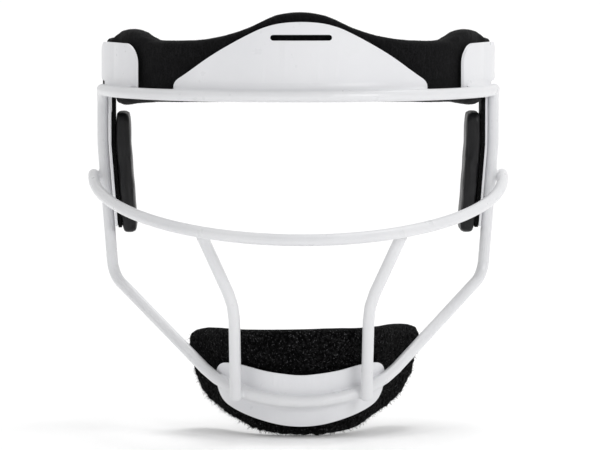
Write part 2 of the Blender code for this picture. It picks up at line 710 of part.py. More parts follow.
inner_x = main_x - STRAP_T / 2 - KEEPER_CLEAR
outer_x = fold_x + STRAP_T / 2 + KEEPER_CLEAR
half_z = STRAP_W / 2 + KEEPER_CLEAR


def keeper_ring(y, grow):
    corners = []
    for x, z in ((inner_x, -half_z), (outer_x, -half_z), (outer_x, half_z), (inner_x, half_z)):
        out_x = grow if x == outer_x else -grow
        out_z = grow if z > 0 else -grow
        corners.append(Vector((x + out_x, y, STRAP_Z + z + out_z)))
    return corners


low_y, high_y = KEEPER_Y - KEEPER_L / 2, KEEPER_Y + KEEPER_L / 2
rounded = KEEPER_WALL * 0.75
body = [keeper_ring(low_y, rounded), keeper_ring(low_y + 0.5, KEEPER_WALL),
        keeper_ring(high_y - 0.5, KEEPER_WALL), keeper_ring(high_y, rounded)]
hole = [keeper_ring(low_y - 1, 0.0), keeper_ring(high_y + 1, 0.0)]
add_pair("strap_keeper", body, MOULDED, [(hole, "DIFFERENCE")])
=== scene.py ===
"""Looks of the fielder's face mask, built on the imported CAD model."""
import math

import bmesh
import bpy
import numpy as np
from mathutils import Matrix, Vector


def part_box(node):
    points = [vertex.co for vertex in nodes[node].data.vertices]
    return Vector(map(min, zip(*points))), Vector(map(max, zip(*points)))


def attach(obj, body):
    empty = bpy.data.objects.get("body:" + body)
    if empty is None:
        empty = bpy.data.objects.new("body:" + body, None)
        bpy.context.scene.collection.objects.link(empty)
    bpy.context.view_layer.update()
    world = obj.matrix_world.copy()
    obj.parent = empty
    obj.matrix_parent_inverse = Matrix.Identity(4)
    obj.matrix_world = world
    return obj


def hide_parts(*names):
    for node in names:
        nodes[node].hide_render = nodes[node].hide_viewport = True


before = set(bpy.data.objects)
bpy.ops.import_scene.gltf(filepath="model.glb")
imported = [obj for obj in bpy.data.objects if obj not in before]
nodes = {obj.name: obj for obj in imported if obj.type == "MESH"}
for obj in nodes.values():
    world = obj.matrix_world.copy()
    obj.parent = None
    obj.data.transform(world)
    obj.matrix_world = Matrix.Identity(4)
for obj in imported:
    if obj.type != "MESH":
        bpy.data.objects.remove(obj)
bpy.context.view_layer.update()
scene = bpy.context.scene
MM = 0.001

# Sizes repeated from the CAD, in millimetres
WIRE_R = 2.6
HALF_WIDTH = 90.6
BROW_FRONT = -16.3
BROW_BACK = 72.0
BROW_Z = -16.4
SIDE_Y = 75.0
LEAN_START = -42.0
LEAN = 0.078
CHIN_Y = -14.7
CHIN_Z = -152.7
JAW_SLOPE = 0.555
CHIN_CORNER = 28.4
CHIN_BEND_R = 50.0
CHIN_TILT = 0.28
MOUTH_FRONT = -55.0
MOUTH_Z = -77.4
MOUTH_SLOPE = 0.157
MOUTH_BACK = 80.0
PLATE_OUT = 2.9
BROW_PLATE_HALF = 57.0
FLARE = 3.4
FLARE_OUT = (50.0, 74.0)
FLARE_ABOVE = (-14.0, -11.5)
PAD_OUT = 6.1
SIDE_PAD_T = 6.8
STRAP_T = 1.6
STRAP_W = 16.0
STRAP_Z = -10.6
STRAP_REAR = 193.0
STRAP_STRAIGHT = 134.0
STRAP_FOLD_END = 131.0
TAB_X = 88.57               # outer face of the strap tab at its slot
TAB_T = 1.0
TAB_BACK = 99.0
SLOT_BACK = 90.4
UP_TOP = (44.6, -76.0)
UP_KNEE = (29.9, -109.0)
UP_FOOT = (29.2, -152.3)
CROSS = 2 * WIRE_R + 0.3    # axis to axis where two wires touch
UP_BEHIND = CROSS * 1.16
UP_AHEAD = CROSS * 1.06


# ---------------------------------------------------------------- node helpers
class Look:
    """A Principled material whose inputs are wired step by step."""

    def __init__(self, name, **values):
        self.material = bpy.data.materials.new(name)
        self.material.use_nodes = True
        self.tree = self.material.node_tree
        self.shader = self.tree.nodes["Principled BSDF"]
        for socket, value in values.items():
            self.shader.inputs[socket.replace("_", " ")].default_value = value
        self.place = self.add("ShaderNodeTexCoord").outputs["Object"]

    def add(self, kind, **inputs):
        node = self.tree.nodes.new(kind)
        for key, value in inputs.items():
            socket = node.inputs[key.replace("_", " ")]
            if isinstance(value, bpy.types.NodeSocket):
                self.tree.links.new(value, socket)
            else:
                socket.default_value = value
        return node

    def noise(self, scale, detail=2.0, rough=0.5, vector=None):
        node = self.add("ShaderNodeTexNoise", Vector=vector or self.place, Scale=scale,
                        Detail=detail, Roughness=rough)
        return node.outputs["Fac"]

    def cells(self, scale, feature="F1", vector=None):
        node = self.add("ShaderNodeTexVoronoi", Vector=vector or self.place, Scale=scale)
        node.feature = feature
        return node.outputs["Distance"]

    def stretch(self, x, y, z):
        node = self.add("ShaderNodeMapping", Vector=self.place, Scale=(x, y, z))
        return node.outputs["Vector"]

    def ramp(self, value, low, high, out_low=0.0, out_high=1.0):
        node = self.add("ShaderNodeMapRange", Value=value, From_Min=low, From_Max=high,
                        To_Min=out_low, To_Max=out_high)
        return node.outputs["Result"]

    def math(self, operation, a, b):
        node = self.tree.nodes.new("ShaderNodeMath")
        node.operation = operation
        for socket, value in zip(node.inputs, (a, b)):
            if isinstance(value, bpy.types.NodeSocket):
                self.tree.links.new(value, socket)
            else:
                socket.default_value = value
        return node.outputs["Value"]

    def blend(self, factor, a, b):
        node = self.tree.nodes.new("ShaderNodeMix")
        node.data_type = "RGBA"
        for socket, value in ((node.inputs[0], factor), (node.inputs[6], a), (node.inputs[7], b)):
            if isinstance(value, bpy.types.NodeSocket):
                self.tree.links.new(value, socket)
            elif isinstance(value, float):
                socket.default_value = value
            else:
                socket.default_value = (*value, 1.0)
        return node.outputs[2]

    def drive(self, socket, value):
        self.tree.links.new(value, self.shader.inputs[socket])

    def bump(self, height, strength, distance, before=None):
        node = self.add("ShaderNodeBump", Height=height, Strength=strength, Distance=distance)
        if before:
            self.tree.links.new(before, node.inputs["Normal"])
        self.tree.links.new(node.outputs["Normal"], self.shader.inputs["Normal"])
        return node.outputs["Normal"]


def coating_look(name, colour, shade):
    """Sprayed and baked white coating with a fine orange peel."""
    look = Look(name, Specular_IOR_Level=0.45, Coat_Weight=0.12, Coat_Roughness=0.25)
    clouds = look.noise(28.0, 3.0)
    tone = look.blend(look.ramp(clouds, 0.3, 0.7), shade, colour)
    specks = look.ramp(look.noise(1900.0, 2.0, 0.7), 0.73, 0.80)
    # Random darker patches, up to a tenth of the way towards a warm grey
    random_dark_patches = look.ramp(look.noise(60.0, 5.0, 0.65), 0.60, 0.85, 0.0, 0.10)
    tone = look.blend(random_dark_patches, tone, (0.50, 0.49, 0.47))
    tone = look.blend(look.math("MULTIPLY", specks, 0.25), tone, (0.58, 0.57, 0.56))
    look.drive("Base Color", tone)
    look.drive("Roughness", look.ramp(look.noise(150.0, 3.0), 0.3, 0.7, 0.27, 0.40))
    peel = look.bump(look.noise(520.0, 2.0, 0.4), 0.10, 0.0004)
    look.bump(look.noise(2600.0, 1.0), 0.05, 0.0001, peel)
    return look.material


def brushed_look():
    """Brushed knit face of the forehead pad: a fine grain with a short nap."""
    look = Look("brushed_knit", Roughness=0.95, Specular_IOR_Level=0.06, Sheen_Weight=0.04,
                Sheen_Roughness=0.45)
    grain = look.noise(1500.0, 3.0, 0.7)
    courses = look.noise(900.0, 2.0, 0.6, look.stretch(1.0, 1.0, 0.35))
    mottle = look.noise(90.0, 3.0, 0.6)
    tone = look.blend(look.ramp(grain, 0.35, 0.75), (0.0020, 0.0020, 0.0022), (0.0115, 0.0115, 0.0123))
    tone = look.blend(look.ramp(courses, 0.5, 0.72, 0.0, 0.5), tone, (0.016, 0.016, 0.0172))
    tone = look.blend(look.ramp(mottle, 0.4, 0.7, 0.0, 0.35), tone, (0.0035, 0.0035, 0.0038))
    look.drive("Base Color", tone)
    nap = look.bump(grain, 0.55, 0.0003)
    look.bump(mottle, 0.35, 0.0009, nap)
    return look.material


def fleece_look():
    """Looped pile of the chin pad, clumped into small knots."""
    look = Look("looped_fleece", Roughness=0.97, Specular_IOR_Level=0.04, Sheen_Weight=0.02,
                Sheen_Roughness=0.4)
    warp = look.add("ShaderNodeVectorMath")
    warp.operation = "MULTIPLY_ADD"
    jitter = look.add("ShaderNodeTexNoise", Vector=look.place, Scale=420.0)
    look.tree.links.new(jitter.outputs["Color"], warp.inputs[0])
    warp.inputs[1].default_value = (0.0016, 0.0016, 0.0016)
    look.tree.links.new(look.place, warp.inputs[2])
    knots = look.cells(620.0, vector=warp.outputs[0])
    grain = look.noise(1700.0, 3.0, 0.75)
    high = look.math("SUBTRACT", 1.0, knots)
    mixed = look.math("MULTIPLY", high, grain)
    tone = look.blend(look.ramp(mixed, 0.20, 0.55), (0.0008, 0.0008, 0.0009), (0.0150, 0.0150, 0.0155))
    glints = look.ramp(look.noise(1300.0, 1.0), 0.62, 0.70)
    tone = look.blend(look.math("MULTIPLY", glints, 0.5), tone, (0.105, 0.105, 0.109))
    look.drive("Base Color", tone)
    nap = look.bump(mixed, 0.9, 0.0012)
    look.bump(look.noise(140.0, 2.0), 0.5, 0.0014, nap)
    return look.material


def fibre_look(name, colour):
    """Black fibres of uneven tone."""
    look = Look(name, Roughness=0.9, Specular_IOR_Level=0.08)
    tone = look.blend(look.ramp(look.noise(700.0), 0.35, 0.65), colour,
                      tuple(c * 2.6 for c in colour))
    look.drive("Base Color", tone)
    return look.material


def vinyl_look():
    """Satin cover of the side pads, drawn lengthwise, with a fine grain."""
    look = Look("satin_cover", Specular_IOR_Level=0.24)
    streaks = look.noise(400.0, 3.0, 0.6, look.stretch(1.0, 1.0, 0.06))
    tone = look.blend(look.ramp(streaks, 0.35, 0.7), (0.005, 0.005, 0.0056), (0.013, 0.013, 0.0142))
    look.drive("Base Color", tone)
    look.drive("Roughness", look.ramp(streaks, 0.3, 0.7, 0.34, 0.5))
    grain = look.bump(look.cells(1500.0), 0.16, 0.00025)
    soft = look.bump(streaks, 0.10, 0.0004, grain)
    look.bump(look.noise(45.0), 0.25, 0.0012, soft)
    return look.material


def hook_look():
    """Woven tape set with rows of small moulded hooks."""
    look = Look("hook_tape", Roughness=0.8, Specular_IOR_Level=0.12)
    hooks = look.cells(850.0)
    top = look.ramp(hooks, 0.15, 0.55, 1.0, 0.0)
    look.drive("Base Color", look.blend(top, (0.0012, 0.0012, 0.0014), (0.008, 0.008, 0.0085)))
    look.bump(top, 0.8, 0.0006)
    return look.material


RIB_PITCH = 0.9
CORD_PITCH = 1.35


def webbing_look():
    """Woven elastic: ribs across the strap and cords along it, laid out by the weave map."""
    look = Look("woven_elastic", Roughness=0.82, Specular_IOR_Level=0.25, Sheen_Weight=0.1)
    uv = look.add("ShaderNodeUVMap")
    uv.uv_map = "weave"
    parts = look.add("ShaderNodeSeparateXYZ", Vector=uv.outputs["UV"])
    along, across = parts.outputs["X"], parts.outputs["Y"]
    ribs = look.math("SINE", look.math("MULTIPLY", along, 2 * math.pi / RIB_PITCH), 0.0)
    cords = look.math("SINE", look.math("MULTIPLY", across, 2 * math.pi / CORD_PITCH), 0.0)
    weave = look.math("MULTIPLY", ribs, cords)
    height = look.math("ADD", look.math("MULTIPLY", weave, 0.35), look.math("MULTIPLY", ribs, 0.25))
    fuzz = look.noise(1600.0, 3.0, 0.7)
    tone = look.blend(look.ramp(height, -0.5, 0.6), (0.006, 0.006, 0.007), (0.030, 0.030, 0.033))
    tone = look.blend(look.ramp(fuzz, 0.5, 0.8, 0.0, 0.4), tone, (0.045, 0.045, 0.048))
    look.drive("Base Color", tone)
    first = look.bump(height, 0.7, 0.0003)
    look.bump(fuzz, 0.3, 0.0002, first)
    return look.material


def nylon_look():
    """Moulded nylon with a spark-eroded grain."""
    look = Look("moulded_nylon", Specular_IOR_Level=0.5)
    spark = look.noise(1100.0, 2.0, 0.6)
    look.drive("Base Color", look.blend(look.ramp(look.noise(70.0, 3.0), 0.35, 0.65),
                                        (0.011, 0.011, 0.012), (0.019, 0.019, 0.020)))
    look.drive("Roughness", look.ramp(spark, 0.3, 0.7, 0.38, 0.55))
    look.bump(spark, 0.22, 0.0002)
    return look.material


def thread_look():
    """Twisted black thread."""
    look = Look("bonded_thread", Roughness=0.6, Specular_IOR_Level=0.4)
    twist = look.noise(3000.0, 1.0)
    look.drive("Base Color", look.blend(twist, (0.02, 0.02, 0.021), (0.06, 0.06, 0.063)))
    look.bump(twist, 0.5, 0.0002)
    return look.material


WHITE = coating_look("white_coating", (0.73, 0.733, 0.745), (0.69, 0.693, 0.71))
# The plates' coating is the wires' white coating made a little lighter: painted light, where the flat
# plates catch more light than the round wires
SHEET_COATING_PAINTED_LIGHTER = coating_look("white_coating_painted_lighter", (0.74, 0.743, 0.76), (0.71, 0.713, 0.735))
BRUSHED = brushed_look()
FLEECE = fleece_look()
VINYL = vinyl_look()
HOOK = hook_look()
WEBBING = webbing_look()
NYLON = nylon_look()
THREAD = thread_look()


# ---------------------------------------------------------------- mesh helpers
def add_piece(name, points, faces, material, smooth=True):
    """Makes a mesh piece from points in metres."""
    mesh = bpy.data.meshes.new(name)
    mesh.from_pydata([tuple(p) for p in points], [], faces)
    mesh.materials.append(material)
    obj = bpy.data.objects.new(name, mesh)
    scene.collection.objects.link(obj)
    body = bmesh.new()
    body.from_mesh(mesh)
    bmesh.ops.recalc_face_normals(body, faces=body.faces)
    body.to_mesh(mesh)
    body.free()
    if smooth:
        mesh.shade_smooth()
        mesh.set_sharp_from_angle(angle=math.radians(40))
    return obj


def apply_modifiers(obj):
    graph = bpy.context.evaluated_depsgraph_get()
    graph.update()
    mesh = bpy.data.meshes.new_from_object(obj.evaluated_get(graph))
    obj.modifiers.clear()
    obj.data = mesh
    return obj


def mesh_points(obj):
    flat = np.empty(len(obj.data.vertices) * 3)
    obj.data.vertices.foreach_get("co", flat)
    return flat.reshape(-1, 3)


def set_points(obj, points):
    obj.data.vertices.foreach_set("co", np.ascontiguousarray(points).ravel())
    obj.data.update()


def mesh_normals(obj):
    flat = np.empty(len(obj.data.vertices) * 3)
    obj.data.vertices.foreach_get("normal", flat)
    return flat.reshape(-1, 3)


def skin(rings):
    """Points and faces of a closed tube through equal rings."""
    count = len(rings[0])
    points = [p for ring in rings for p in ring]
    faces = []
    for i in range(len(rings) - 1):
        for j in range(count):
            k = (j + 1) % count
            faces.append((i * count + j, (i + 1) * count + j, (i + 1) * count + k, i * count + k))
    faces.append(tuple(range(count)))
    faces.append(tuple(reversed(range((len(rings) - 1) * count, len(rings) * count))))
    return points, faces


# ---------------------------------------------------------------- CAD nodes that stay
def give(material, *names):
    for name in names:
        for material_slot in nodes[name].material_slots:
            material_slot.material = material


def round_edges(name, width):
    """Rounds the arrises of a CAD node by a modifier."""
    weld = nodes[name].modifiers.new("weld", "WELD")
    weld.merge_threshold = 0.00001
    bevel = nodes[name].modifiers.new("arris", "BEVEL")
    bevel.width = width * MM
    bevel.segments = 3
    bevel.limit_method = "ANGLE"
    bevel.angle_limit = math.radians(50.0)
    bevel.use_clamp_overlap = True
    bevel.harden_normals = False


WIRES = ["brow_wire", "jaw_wire", "mouth_wire", "left_upright_wire", "right_upright_wire"]
PLATES = ["forehead_plate", "chin_plate", "left_side_plate", "right_side_plate"]
TAPES = ["forehead_hook_tape", "chin_hook_tape", "left_side_hook_tape", "right_side_hook_tape"]
KEEPERS = ["left_strap_keeper", "right_strap_keeper"]
give(WHITE, *WIRES)
give(SHEET_COATING_PAINTED_LIGHTER, *PLATES)
give(HOOK, *TAPES)
give(NYLON, *KEEPERS)
for plate in PLATES:
    round_edges(plate, 0.35)
for keeper in KEEPERS:
    round_edges(keeper, 0.5)


# ---------------------------------------------------------------- curves of the guard
def brow_place(run, offset):
    depth = BROW_BACK - BROW_FRONT
    side = math.copysign(1, run)
    turn = math.radians(abs(run))
    inward = Vector((-depth * math.sin(turn), HALF_WIDTH * math.cos(turn))).normalized()
    x = HALF_WIDTH * math.sin(turn) + inward.x * offset
    return Vector((side * x, BROW_BACK - depth * math.cos(turn) + inward.y * offset))


def brow_run(offset, x):
    low, high = 0.0, 90.0
    for _ in range(40):
        middle = (low + high) / 2
        low, high = (low, middle) if brow_place(middle, offset).x >= x else (middle, high)
    return low


def lean_x(z):
    return HALF_WIDTH - LEAN * max(0.0, LEAN_START - z)


def jaw_z(y):
    return CHIN_Z + JAW_SLOPE * (y - CHIN_Y)


def chin_place(run, offset):
    """Plan point inside the chin curve, its inward direction and the wire's height there."""
    foot = Vector((lean_x(jaw_z(SIDE_Y)), SIDE_Y))
    turn = math.atan2(foot.y - CHIN_Y, foot.x - CHIN_CORNER)
    flat = CHIN_CORNER - CHIN_BEND_R * math.tan(turn / 2)
    side = math.copysign(1, run)
    length = abs(run)
    arc = CHIN_BEND_R * turn
    angle = min(max((length - flat) / CHIN_BEND_R, 0.0), turn)
    place = Vector((min(length, flat) + CHIN_BEND_R * math.sin(angle),
                    CHIN_Y + CHIN_BEND_R * (1 - math.cos(angle))))
    place += Vector((math.cos(turn), math.sin(turn))) * max(length - flat - arc, 0.0)
    z = jaw_z(place.y)
    place += Vector((-math.sin(angle), math.cos(angle))) * offset
    return Vector((side * place.x, place.y)), Vector((-side * math.sin(angle), math.cos(angle))), z


def even(start, end, count):
    return [start + (end - start) * i / (count - 1) for i in range(count)]


# ---------------------------------------------------------------- fillets of coating along the plates
def fillet_profile(rise, cover, sign):
    """Concave line from the wire's face to the plate, as (offset, height) pairs, closed inside both."""
    start = Vector((WIRE_R * math.sin(cover), sign * WIRE_R * math.cos(cover)))
    corner = Vector((PLATE_OUT - 0.12, sign * (WIRE_R * 0.94)))
    end = Vector((PLATE_OUT - 0.01, sign * (WIRE_R + rise)))
    line = []
    for i in range(9):
        t = i / 8
        line.append(start * (1 - t) ** 2 + corner * 2 * t * (1 - t) + end * t * t)
    return line + [Vector((PLATE_OUT + 0.5, sign * (WIRE_R + rise))), Vector((PLATE_OUT + 0.5, 0)),
                   Vector((0.8, 0))]


def smooth_step(value, low, high):
    share = min(max((value - low) / (high - low), 0.0), 1.0)
    return share * share * (3 - 2 * share)


def flare(y, z):
    """How far a side plate turns out of the brow curve, above the brow bar."""
    grown = min(max((y - FLARE_OUT[0]) / (FLARE_OUT[1] - FLARE_OUT[0]), 0.0), 1.0)
    return FLARE * (1 - (1 - grown) ** 2) * smooth_step(z, *FLARE_ABOVE)


def brow_fillet(name, runs, rise):
    rings = []
    for i, run in enumerate(runs):
        fade = min(1.0, i / 2, (len(runs) - 1 - i) / 2)
        ring = []
        for offset, height in fillet_profile(rise * (0.25 + 0.75 * fade), math.radians(-12), 1):
            place = brow_place(run, offset)
            out = math.copysign(flare(place.y, BROW_Z + height), run)
            ring.append(Vector((place.x + out, place.y, BROW_Z + height)) * MM)
        rings.append(ring)
    piece = add_piece(name, *skin(rings), SHEET_COATING_PAINTED_LIGHTER)
    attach(piece, "guard")
    return piece


def chin_fillet(name, runs, rise, sign):
    rings = []
    for i, run in enumerate(runs):
        fade = min(1.0, i / 3, (len(runs) - 1 - i) / 3)
        ring = []
        profile = fillet_profile(rise * (0.2 + 0.8 * fade), math.radians(5), sign)
        for offset, height in profile:
            place, inward, wire_z = chin_place(run, offset)
            place = place - inward * CHIN_TILT * height * (offset / PLATE_OUT)
            ring.append(Vector((place.x, place.y, wire_z + height)) * MM)
        rings.append(ring)
    piece = add_piece(name, *skin(rings), SHEET_COATING_PAINTED_LIGHTER)
    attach(piece, "guard")
    return piece


end_run = brow_run(PLATE_OUT, BROW_PLATE_HALF - 0.6)
brow_fillet("forehead_plate_fillet", even(-end_run, end_run, 49), 3.4)
lobe_start, lobe_end = brow_run(PLATE_OUT, 76.0), brow_run(PLATE_OUT, 87.3)
brow_fillet("right_lobe_fillet", even(lobe_start, lobe_end, 21), 3.2)
brow_fillet("left_lobe_fillet", even(-lobe_end, -lobe_start, 21), 3.2)
chin_fillet("chin_fillet_upper", even(-41.0, 41.0, 45), 0.9, 1)
chin_fillet("chin_fillet_lower", even(-41.0, 41.0, 45), 2.4, -1)


# ---------------------------------------------------------------- welds where wires cross
def bisect(reached, low, high):
    for _ in range(40):
        middle = (low + high) / 2
        low, high = (low, middle) if reached(middle) else (middle, high)
    return low


def segment_distance(points, a, b):
    along = b - a
    t = np.clip(((points - a) @ along) / (along @ along), 0.0, 1.0)
    return np.linalg.norm(points - (a + t[:, None] * along), axis=1)


def line_distance(points, line):
    return np.min([segment_distance(points, a, b) for a, b in zip(line, line[1:])], axis=0)


def soft_min(a, b, reach):
    h = np.clip(0.5 + 0.5 * (b - a) / reach, 0.0, 1.0)
    return b * (1 - h) + a * h - reach * h * (1 - h)


def weld(name, first, second, centre, reach, size=9.0):
    """A filleted weld: short wire lengths blended by distance, sinking into the wires at its ends."""
    lines = [[np.array(p, float) for p in line] for line in (first, second)]
    centre = np.array(centre, float)

    def field(points):
        gap = soft_min(line_distance(points, lines[0]), line_distance(points, lines[1]), reach)
        away = np.linalg.norm(points - centre, axis=1) / size
        return gap - (WIRE_R + 0.08 - 0.34 * np.minimum(away, 1.3) ** 2)

    tube_points, tube_faces = [], []
    for line in lines:
        for a, b in zip(line, line[1:]):
            along = Vector(b - a).normalized()
            side = along.orthogonal().normalized()
            up = along.cross(side)
            rings = []
            for place in (Vector(a), Vector(b)):
                rings.append([place + (side * math.cos(t) + up * math.sin(t)) * (WIRE_R + 0.4)
                              for t in even(0, 2 * math.pi * 15 / 16, 16)])
            points, faces = skin(rings)
            base = len(tube_points)
            tube_points += points
            tube_faces += [tuple(base + i for i in face) for face in faces]
    piece = add_piece(name, [p * MM for p in tube_points], tube_faces, WHITE)
    remesh = piece.modifiers.new("remesh", "REMESH")
    remesh.mode = "VOXEL"
    remesh.voxel_size = 0.5 * MM
    apply_modifiers(piece)
    points = mesh_points(piece) / MM
    step = 0.02
    for _ in range(10):
        value = field(points)
        slope = np.stack([(field(points + np.eye(3)[i] * step) - value) / step for i in range(3)], 1)
        length = np.maximum((slope ** 2).sum(1), 0.05)
        points = points - slope * np.clip(value / length, -1.0, 1.0)[:, None]
    set_points(piece, points * MM)
    piece.data.shade_smooth()
    piece.data.materials.clear()
    piece.data.materials.append(WHITE)
    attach(piece, "guard")


MOUTH_HALF = lean_x(MOUTH_Z + MOUTH_SLOPE * (SIDE_Y - MOUTH_FRONT)) + 2 * WIRE_R + 0.4


def mouth_axis(turn, offset=0.0):
    depth = MOUTH_BACK - MOUTH_FRONT
    inward = Vector((-depth * math.sin(turn), MOUTH_HALF * math.cos(turn))).normalized() * offset
    y = MOUTH_BACK - depth * math.cos(turn)
    return Vector((MOUTH_HALF * math.sin(turn) + inward.x, y + inward.y,
                   MOUTH_Z + MOUTH_SLOPE * (y - MOUTH_FRONT)))


foot_run = bisect(lambda r: chin_place(r, -UP_AHEAD)[0].x >= UP_FOOT[0], 0.0, 90.0)
foot_place, _, foot_z = chin_place(foot_run, -UP_AHEAD)
top_turn = bisect(lambda t: mouth_axis(t, UP_BEHIND).x >= UP_TOP[0], 0.0, math.pi / 2)
top_y = mouth_axis(top_turn, UP_BEHIND).y
UP_SLOPE = (foot_place.y - top_y) / (foot_z - UP_TOP[1])


def upright_axis(x, z):
    return Vector((x, top_y + UP_SLOPE * (z - UP_TOP[1]), z))


def upright_at(z, end, towards):
    share = (z - end[1]) / (towards[1] - end[1])
    return upright_axis(end[0] + (towards[0] - end[0]) * share, z)


def jaw_axis(run):
    place, _, z = chin_place(run, 0.0)
    return Vector((place.x, place.y, z))


for side, sign in (("right", 1), ("left", -1)):
    flip = Vector((sign, 1, 1))
    turns = [math.radians(a) for a in (82.0, 83.8, 85.6, 87.4, 89.2)]
    bar = [mouth_axis(t) * flip for t in turns]
    cross = bisect(lambda t: mouth_axis(t).y >= SIDE_Y, 0.0, math.pi / 2)
    at = mouth_axis(cross)
    post = [Vector((lean_x(z), SIDE_Y, z)) * flip for z in even(at.z + 12, at.z - 12, 5)]
    weld(side + "_mouth_weld", bar, post, (at * flip + post[2]) / 2, reach=2.2)
    turns = [top_turn + math.radians(a) for a in (-7.5, -5, -2.5, 0, 2.5, 5, 7.5)]
    bar = [mouth_axis(t) * flip for t in turns]
    post = [upright_at(z, UP_TOP, UP_KNEE) * flip for z in (-77.6, -81.0, -85.0, -90.0)]
    weld(side + "_upright_top_weld", bar, post, (bar[3] + post[0]) / 2, reach=3.4)
    wire = [jaw_axis(r) * flip for r in even(foot_run - 12, foot_run + 12, 7)]
    post = [upright_at(z, UP_FOOT, UP_KNEE) * flip for z in (-151.0, -147.0, -143.0, -138.0)]
    weld(side + "_upright_foot_weld", wire, post, (wire[3] + post[0]) / 2, reach=3.2)
    seam = [Vector((lean_x(z), SIDE_Y, z)) * flip for z in even(-87.0, -97.0, 5)]
    weld(side + "_butt_weld", seam, seam, seam[2], reach=0.02, size=3.2)


# ---------------------------------------------------------------- strap
CORD_COUNT = 11
CORD_POINTS = 4             # points round each cord of the webbing
EDGE_R = 0.55
END_PINCH = (0.55, 0.9)     # share of the thickness at the first two rings of a cut end
HEM = 3.4                   # from a cut end to the middle of its stitches
STITCH_HALF = 6.6
STITCH_SWING = 1.1
STITCH_R = 0.2


def strap_half():
    """Centreline of the strap in plan, from its folded end round a side slot to the rear."""
    tab_mid = TAB_X - TAB_T / 2
    turn_r = TAB_T / 2 + 0.3 + STRAP_T / 2
    main_x = tab_mid - turn_r
    fold_x = main_x + STRAP_T + 0.4
    path = [(fold_x, y) for y in even(STRAP_FOLD_END, TAB_BACK + 8.0, 25)]
    path += [(tab_mid + turn_r + 0.15, TAB_BACK + 1.0), (tab_mid + turn_r, SLOT_BACK + 0.5)]
    for angle in range(0, 181, 15):
        turn = math.radians(angle)
        path.append((tab_mid + turn_r * math.cos(turn), SLOT_BACK - turn_r * math.sin(turn)))
    path += [(main_x, y) for y in even(91.4, STRAP_STRAIGHT - 1.0, 43)]
    for angle in even(0, 89, 90):
        turn = math.radians(angle)
        y = STRAP_STRAIGHT + (STRAP_REAR - STRAP_T / 2 - STRAP_STRAIGHT) * math.sin(turn)
        path.append((main_x * math.cos(turn), y))
    return [Vector(p) for p in path], fold_x


def webbing_outline():
    """The strap's section: cords along both faces and a round edge, as (thickness, width) pairs."""
    half = STRAP_W / 2
    steps = CORD_COUNT * CORD_POINTS
    face = []
    for i in range(steps + 1):
        across = (i / steps * 2 - 1) * (half - 0.7)
        cord = math.cos(2 * math.pi * i / CORD_POINTS)
        face.append((STRAP_T / 2 - 0.09 - 0.07 * cord, across))
    edge = [(EDGE_R * math.cos(t), half - EDGE_R + 0.5 * math.sin(t))
            for t in even(0.5, math.pi - 0.5, 7)]
    return face + edge + [(-t, -w) for t, w in face] + [(t, -w) for t, w in reversed(edge)]


fold_half, fold_x = strap_half()
loop = fold_half + [Vector((0.0, STRAP_REAR - STRAP_T / 2))]
loop += [Vector((-p.x, p.y)) for p in reversed(fold_half)]
outline = webbing_outline()
rings, lengths, girth = [], [0.0], [0.0]
for i, spot in enumerate(loop):
    along = (loop[min(i + 1, len(loop) - 1)] - loop[max(i - 1, 0)]).normalized()
    across = Vector((-along.y, along.x))
    ends = min(i, len(loop) - 1 - i)
    pinch = END_PINCH[ends] if ends < 2 else 1.0
    ring = []
    for depth, width in outline:
        at = spot + across * depth * pinch
        ring.append(Vector((at.x, at.y, STRAP_Z + width * (0.985 if ends == 0 else 1.0))) * MM)
    rings.append(ring)
    if i:
        lengths.append(lengths[-1] + (spot - loop[i - 1]).length)
for (a, b), (c, d) in zip(outline, outline[1:] + outline[:1]):
    girth.append(girth[-1] + math.hypot(c - a, d - b))
strap = add_piece("rear_strap_webbing", *skin(rings), WEBBING)
weave = strap.data.uv_layers.new(name="weave")
for face in strap.data.polygons:
    wraps = {i % len(outline) for i in face.vertices} == {0, len(outline) - 1}
    for loop_index in face.loop_indices:
        ring_index, place = divmod(strap.data.loops[loop_index].vertex_index, len(outline))
        step = len(outline) if wraps and place == 0 else place
        weave.data[loop_index].uv = (lengths[ring_index], girth[step])
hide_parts("rear_strap")
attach(strap, "guard")

# Zigzag stitching that keeps each folded end from fraying
for side, sign in (("right", 1), ("left", -1)):
    points, faces = [], []
    stations = even(-STITCH_HALF, STITCH_HALF, 23)
    hem_y, face_x = STRAP_FOLD_END - HEM, fold_x + STRAP_T / 2 - 0.06
    for i in range(len(stations) - 1):
        swing = STITCH_SWING if i % 2 else -STITCH_SWING
        start = Vector((face_x, hem_y + swing, STRAP_Z + stations[i]))
        end = Vector((face_x, hem_y - swing, STRAP_Z + stations[i + 1]))
        along = (end - start).normalized()
        up = Vector((1, 0, 0)).cross(along)
        stitch = []
        for t in even(0, 1, 7):
            swell = math.sqrt(max(math.sin(math.pi * (0.06 + 0.88 * t)), 0.0))
            middle = start.lerp(end, t) + Vector((0.09 * swell - 0.1, 0, 0))
            ring = [Vector((0.6 * math.cos(a), 0, 0)) + up * math.sin(a)
                    for a in even(0, 2 * math.pi * 7 / 8, 8)]
            stitch.append([(middle + out * STITCH_R * swell) * MM for out in ring])
        new_points, new_faces = skin(stitch)
        faces += [tuple(len(points) + k for k in face) for face in new_faces]
        points += new_points
    points = [Vector((sign * p.x, p.y, p.z)) for p in points]
    stitches = add_piece(side + "_strap_stitches", points, faces, THREAD)
    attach(stitches, "guard")


# ---------------------------------------------------------------- pads
def curve_table(points_and_inward):
    """Arrays of plan points, inward directions and distances along a curve."""
    spots = np.array([tuple(p) for p, _ in points_and_inward])
    inward = np.array([tuple(n) for _, n in points_and_inward])
    steps = np.linalg.norm(np.diff(spots, axis=0), axis=1)
    return spots, inward, np.concatenate([[0.0], np.cumsum(steps)]) - steps.sum() / 2


